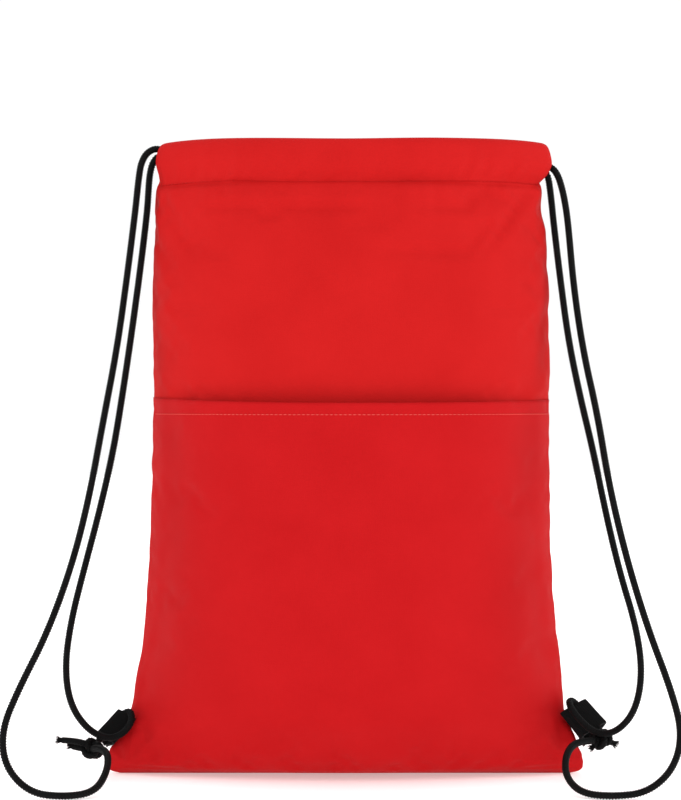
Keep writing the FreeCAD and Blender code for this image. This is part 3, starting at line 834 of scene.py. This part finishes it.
def build_tunnels():
    tracks = {}
    for (name, side, depth_of), seed in zip(SIDES, (21, 29)):
        half_length = wall_point(np.array([SEAM_Z]), 0, depth_of, np.array([1]))[3][0]
        stop = 1 - TUNNEL_STOP / half_length
        share = np.linspace(-stop, stop, 220)
        outside, uvs = tunnel_grid(side, closed_curve(TUNNEL_OUTSIDE, 64), share, depth_of, seed)
        hollow, _ = tunnel_grid(side, closed_curve(TUNNEL_HOLLOW, 64), share, depth_of, seed)
        tunnel = ply_object(name + "_tunnel", outside, hollow, uvs, side < 0, close_rows=True)
        dress(tunnel, "bag", "red_shell", name + "_channel")
        tracks[name] = outside
    return tracks


# ---- stitches
def stitch_row(name, line, outward, stitch):
    """A row of lockstitches: each one dips into the cloth at both ends."""
    sides, rings = 7, 7
    pitch, length, radius, first, sunk, girth = stitch
    along = arc_length(line)
    arch = np.sin(np.linspace(0, np.pi, rings))
    thick = radius * (0.35 + 0.65 * arch)[:, None]
    vertices, faces, uvs = [], [], []
    for start in np.arange(first, along[-1] - pitch, pitch):
        at = start + np.linspace(0, length, rings)
        up = read_line(outward, along, at)
        centre = read_line(line, along, at) + up * ((arch - sunk) * radius)[:, None]
        across = np.cross(unit(np.gradient(centre, axis=0)), up)
        faces += tube_faces(rings, sides, len(vertices) * rings * sides)
        vertices.append(rings_about(centre, thick, across, up, sides).reshape(-1, 3))
        uvs.append(np.stack([np.tile(np.arange(sides) / sides * girth, rings),
                             np.repeat(at, sides)], axis=1))
    return new_object(name, np.concatenate(vertices), faces, np.concatenate(uvs))


def stitch_tunnels(tracks):
    for name, sign in (("front", 1), ("back", -1)):
        outward = grid_normals(tracks[name][:6])[1] * sign
        thread = stitch_row(name + "_tunnel_stitches", tracks[name][1], outward, TUNNEL_STITCH)
        dress(thread, "bag", "red_thread", name + "_channel_stitching")


def surface_line(grid, normals, height):
    """The line across a grid at one height, and the outward directions along it."""
    line, outward = [], []
    columns = grid.shape[1]
    for j in range(int(columns * 0.02), int(columns * 0.98)):
        z = grid[:, j, 2]
        start = int(np.argmax(z > 20 * MM))
        order = start + np.argsort(z[start:])
        for values, source in ((line, grid), (outward, normals)):
            values.append([np.interp(height, z[order], source[order, j, k]) for k in range(3)])
    return np.array(line), np.array(outward)


# ---- pocket
def build_pocket():
    """The slip pocket, its turned-in hem and the hem's stitches."""
    rise = np.where(SHARE < 0, *POCKET_RISE) * SHARE ** 2
    stitch_z = POCKET_Z - HEM_STITCH_DROP

    def shaped(piece, z, inset, thickness, node):
        outside, uvs = wall_grid(-1, z, SHARE, inset, pocket_depth)
        dent = 0.2 * MM * fade(outside[..., 2] - stitch_z, 1.2 * MM)
        height = wrinkles(outside, uvs, 41, 0) - dent
        stretch = smoothstep((z - POCKET_STRETCH_FROM) / (POCKET_Z - POCKET_STRETCH_FROM))
        thing, grid, normals = wrinkled_ply(piece, -1, z, SHARE, inset, thickness, pocket_depth,
                                            height, stretch[:, None] * rise)
        return dress(thing, "bag", "pocket_cloth", node), grid, normals

    z = np.append(ROW_Z[ROW_Z < POCKET_Z - 1 * MM], [POCKET_Z])
    pocket, grid, normals = shaped("pocket_sheet", z, 0, POCKET_CLOTH, "front_pocket")
    hem_z = np.linspace(POCKET_Z - HEM, POCKET_Z - 0.3 * MM, 10)
    hem, _, _ = shaped("pocket_hem_fold", hem_z, POCKET_CLOTH + PLY_GAP, HEM_CLOTH, "pocket_hem")
    line, outward = surface_line(grid, normals, stitch_z)
    stitches = stitch_row("pocket_hem_stitches", line, outward, HEM_STITCH)
    # These stitches take the paler thread, whose lighter red is a painted highlight.
    dress(stitches, "bag", "red_thread", "pocket_hem_stitching", material="highlight_thread")


# ---- seams inside
def tape_strip(name, node, line, across):
    """A folded binding tape: a flat strip with rounded edges along a line."""
    width, thickness = TAPE
    half = thickness / 2
    turns = np.linspace(-np.pi / 2, np.pi / 2, 7)
    outline = [(width - half + half * math.cos(t), half * math.sin(t)) for t in turns]
    outline += [(half - half * math.cos(t), -half * math.sin(t)) for t in turns]
    outline, across = np.array(outline), np.array(across)
    flat = unit(np.cross(unit(np.gradient(line, axis=0)), across))
    wave = 0.3 * MM * noise_field(line[:, None], 14 * MM, 61)
    grid = (line[:, None] + outline[:, :1] * across
            + (outline[:, 1] + wave)[..., None] * flat[:, None])
    uvs = np.stack(np.meshgrid(outline[:, 0], arc_length(line)), axis=-1)
    strip = new_object(name + "_seam_binding", grid, tube_faces(*grid.shape[:2]), uvs)
    dress(strip, "bag", "seam_tape", node)


def build_seams():
    for name, end in (("left", -1), ("right", 1)):
        node = name + "_side_seam"
        low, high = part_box(node)
        z = np.linspace(low.z, high.z, 90)
        half_width = np.interp(z, PROFILE[:, 0], PROFILE[:, 1])
        middle = np.interp(z, PROFILE[:, 0], PROFILE[:, 2])
        line = np.stack([middle + end * (half_width - TAPE_FROM_SIDE), 0 * z, z], axis=1)
        tape_strip(name, node, line, (-end, 0, 0))
    low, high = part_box("bottom_seam")
    x = np.linspace(low.x, high.x, 80)
    line = np.stack([x, 0 * x, np.full(x.shape, low.z + TAPE_FROM_FLOOR)], axis=1)
    tape_strip("bottom", "bottom_seam", line, (0, 0, 1))


# ---- cords
def spline_line(name, points):
    """Points along the smooth line that has these control points."""
    curve = bpy.data.curves.new(name + "_route", "CURVE")
    curve.dimensions = "3D"
    curve.resolution_u = 24
    spline = curve.splines.new("NURBS")
    spline.points.add(len(points) - 1)
    for place, point in zip(spline.points, points):
        place.co = (*(MM * value for value in point), 1)
    spline.order_u = 3
    spline.use_endpoint_u = True
    holder = bpy.data.objects.new(name + "_route", curve)
    mesh = bpy.data.meshes.new_from_object(holder)
    line = np.array([v.co for v in mesh.vertices], float).reshape(-1, 3)
    bpy.data.meshes.remove(mesh)
    bpy.data.objects.remove(holder)
    bpy.data.curves.remove(curve)
    return line


def line_frames(line):
    """Directions across a line that turn with it and don't twist."""
    heading = unit(np.gradient(line, axis=0))
    across = np.zeros_like(line)
    current = Vector(heading[0]).orthogonal().normalized()
    for i, direction in enumerate(heading):
        way = Vector(direction)
        current = (current - way * current.dot(way)).normalized()
        across[i] = current
    return across, np.cross(heading, across)


def braid_relief(angle, along):
    """Height of a braid, from 0 in its grooves to 1 where strands cross."""
    turns = angle / math.tau * BRAID_STRANDS
    first, second = turns + along / BRAID_PERIOD, turns - along / BRAID_PERIOD
    first_on_top = (np.floor(first) + np.floor(second)) % 2 == 0
    crown_f, crown_s = (np.sin(np.pi * (way - np.floor(way))) for way in (first, second))
    crossing = np.where(first_on_top, crown_f * crown_s ** 0.4, crown_s * crown_f ** 0.4)
    row = 0.5 - 0.5 * np.cos(math.tau * along / BRAID_PERIOD)
    return 0.8 * crossing + 0.2 * row


def braided_tube(name, line, diameter, around=40, step=0.3 * MM, closed=False):
    """A braided cord along a line. Its coordinates are metres round it and along it."""
    reach = arc_length(line)
    along = np.linspace(0, reach[-1], max(2, int(round(reach[-1] / step)) + 1))
    line = read_line(line, reach, along)
    if closed:
        line, along = line[:-1], along[:-1]
    across, other = line_frames(line)
    angle = np.linspace(0, math.tau, around, endpoint=False)
    relief = BRAID_RELIEF * (1 - braid_relief(angle, along[:, None]))
    radius = diameter / 2 - relief
    around_line = (np.cos(angle)[:, None] * across[:, None]
                   + np.sin(angle)[:, None] * other[:, None])
    grid = line[:, None] + radius[..., None] * around_line
    size = grid.shape[:2]
    faces = grid_faces(*size, 0, True, True) if closed else tube_faces(*size)
    uvs = np.stack(np.meshgrid(angle * diameter / 2, along), axis=-1)
    return new_object(name, grid, faces, uvs), line


def build_strands(on_cords):
    for name, points in STRANDS.items():
        cord, path = braided_tube(name + "_braid", spline_line(name, points), CORD_OVER_BRAID)
        length = float(arc_length(path)[-1])
        leave = path[int(TUNNEL_HIDES / length * len(path))]
        foot = leave.copy()
        foot[2] -= STRAND_BEND
        dress(cord, None, "black_cord", name)
        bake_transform(cord)


def knot_line(centre, axis, unit_size):
    """A trefoil: the line of a single overhand knot, pulled tight."""
    t = np.linspace(0, math.tau, 420)
    out = 2 + np.cos(3 * t)
    flat = np.stack([out * np.cos(2 * t), out * np.sin(2 * t), 1.05 * np.sin(3 * t)], axis=1)
    turn = np.array(Vector((0, 0, 1)).rotation_difference(Vector(axis)).to_matrix())
    return flat * unit_size @ turn.T + np.array(centre) * MM


def frayed_end(line, diameter, seed):
    """Loose yarn ends that fan out of a cut cord."""
    chance = random.Random(seed)
    tip = line[-1]
    heading = unit(line[-1] - line[-8])
    side_a = np.array(Vector(heading).orthogonal().normalized())
    side_b = np.cross(heading, side_a)
    vertices, faces, uvs = [], [], []
    sides, rings = 5, 7
    share = np.linspace(-0.25, 1, rings)[:, None]
    for _ in range(YARNS):
        angle = chance.uniform(0, math.tau)
        out = math.sqrt(chance.random())
        reach = chance.uniform(1.8, 4.4) * MM
        spread = chance.uniform(0.2, 0.7) * out
        curl = chance.uniform(-0.5, 0.5)
        away = math.cos(angle) * side_a + math.sin(angle) * side_b
        twist = math.cos(angle + 1.5) * side_a + math.sin(angle + 1.5) * side_b
        centre = (tip + away * diameter * 0.36 * out + heading * reach * share
                  + away * reach * spread * share ** 2 + twist * reach * curl * share ** 2 * 0.5)
        radius = chance.uniform(0.2, 0.36) * MM * (1 - 0.6 * np.clip(share, 0, 1))
        faces += tube_faces(rings, sides, len(vertices) * rings * sides)
        vertices.append(rings_about(centre, radius, side_a, side_b, sides).reshape(-1, 3))
        uvs.append(np.stack([np.tile(np.arange(sides) * 0.1 * MM, rings),
                             np.repeat(share[:, 0] * reach, sides)], axis=1))
    return np.concatenate(vertices), faces, np.concatenate(uvs)


def join_into(target, others):
    """Joins meshes into the first one, so that they're one piece."""
    chosen = [target] + others
    with bpy.context.temp_override(active_object=target, selected_editable_objects=chosen):
        bpy.ops.object.join()


def build_knots():
    """The two knots and the four frayed cord ends beyond them."""
    on_cords = {"left": [], "right": []}
    for side, (centre, axis) in KNOTS.items():
        line = knot_line(centre, Vector(axis).normalized(), KNOT_UNIT)
        knot, _ = braided_tube(side + "_knot_braid", line, KNOTTED_CORD, closed=True)
        on_cords[side].append(dress(knot, side + "_strap", "black_cord", side + "_knot"))
    for number, (name, points) in enumerate(TAILS.items()):
        side = name.split("_")[0]
        line = spline_line(name, points)
        tail, path = braided_tube(name + "_braid", line, KNOTTED_CORD)
        yarn = new_object(name + "_yarn", *frayed_end(path, 4 * MM, 70 + number))
        join_into(tail, [yarn])
        on_cords[side].append(dress(tail, side + "_strap", "black_cord", name))
    return on_cords


def build_tunnel_cords():
    """The stretch of each drawcord inside the tunnels: once round the mouth."""
    share = np.linspace(-1, 1, 240)
    for name, end, z in TUNNEL_CORDS:
        runs = []
        for _, side, depth_of in SIDES:
            x, y, height, _ = wall_point(np.array([[z]]), TUNNEL_CORD_INSET, depth_of, share)
            run = np.stack([x[0], side * y[0], height[0]], axis=1)[share * end < TUNNEL_CORD_STOP]
            runs.append(run[::-1] if side == -end else run)
        cord, _ = braided_tube(name + "_tunnel_cord_braid", np.concatenate(runs), CORD_OVER_BRAID,
                               around=20, step=0.7 * MM)
        dress(cord, "bag", "black_cord", name + "_channel_cord")


# ---- webbing tabs
def tab_place(tab, share):
    """Root, reach, outward and crossing directions of a tab's profile."""
    (root_top, root_foot), (nose_top, nose_foot) = (
        [Vector(point) * MM for point in tab[key]] for key in ("root", "nose"))
    root = root_top.lerp(root_foot, share)
    nose = nose_top.lerp(nose_foot, share)
    out = (nose - root).normalized()
    up = (root_foot - root_top).normalized().cross(out) * tab["flip"]
    up.y *= TAB_FACING
    up = np.array(up.normalized()) * tab["spread"]
    return np.array(root), (nose - root).length, np.array(out), up


def build_tabs():
    outline, along = open_curve(TAB_OUTLINE, 230)
    heading = unit(np.gradient(outline, axis=0))
    inward = np.stack([heading[:, 1], -heading[:, 0]], axis=1)
    if inward[len(inward) // 2][0] > 0:
        inward = -inward
    rib = RIB_RELIEF * (0.5 - 0.5 * np.cos(math.tau * along / WEBBING_RIB))
    widths = np.linspace(0, 1, 40)
    for side, tab in TABS.items():
        outside, inside = [], []
        for share in widths:
            root, reach, out, up = tab_place(tab, share)
            selvage = 1 - 0.35 * np.exp(-min(share, 1 - share) / 0.03)
            thinner = 0.2 * MM * (1 - selvage)
            for rows, lift in ((outside, -rib), (inside, WEBBING * selvage + rib)):
                flat = outline + inward * lift[:, None] + inward * thinner
                out_along = flat[:, 0] * (reach / TAB_OUTLINE_REACH)
                rows.append(root + np.outer(out_along, out) + np.outer(flat[:, 1], up))
        outside, inside = np.array(outside), np.array(inside)
        uvs = np.stack(np.meshgrid(along, widths * TAB_WIDTH), axis=-1)
        piece = ply_object(side + "_tab_webbing", outside, inside, uvs, tab["flip"] > 0)
        dress(piece, side + "_strap", "black_webbing", side + "_tab")
        build_tab_stitches(side, outside)


def build_tab_stitches(side, outside):
    """A row of thread across each ply of the webbing, next to its root."""
    pieces = []
    middle = outside[2:-2].mean(axis=1)
    for column in (TAB_THREAD_COLUMN, outside.shape[1] - 1 - TAB_THREAD_COLUMN):
        before, line, after = (outside[2:-2, column + shift] for shift in (-3, 0, 3))
        outward = unit(np.cross(after - before, np.gradient(line, axis=0)))
        outward = outward * np.sign(np.sum(outward * (line - middle), axis=1, keepdims=True))
        pieces.append(stitch_row(side + "_tab_stitches", line, outward, TAB_STITCH))
    join_into(pieces[0], pieces[1:])
    dress(pieces[0], side + "_strap", "black_thread", side + "_tab_stitching")


# ---- the whole backpack
add_camera()
MATERIALS = build_materials()
add_studio()
build_strands(build_knots())
build_tunnel_cords()
SWELL = simulate_wall()
build_wall()
stitch_tunnels(build_tunnels())
build_pocket()
build_seams()
build_tabs()
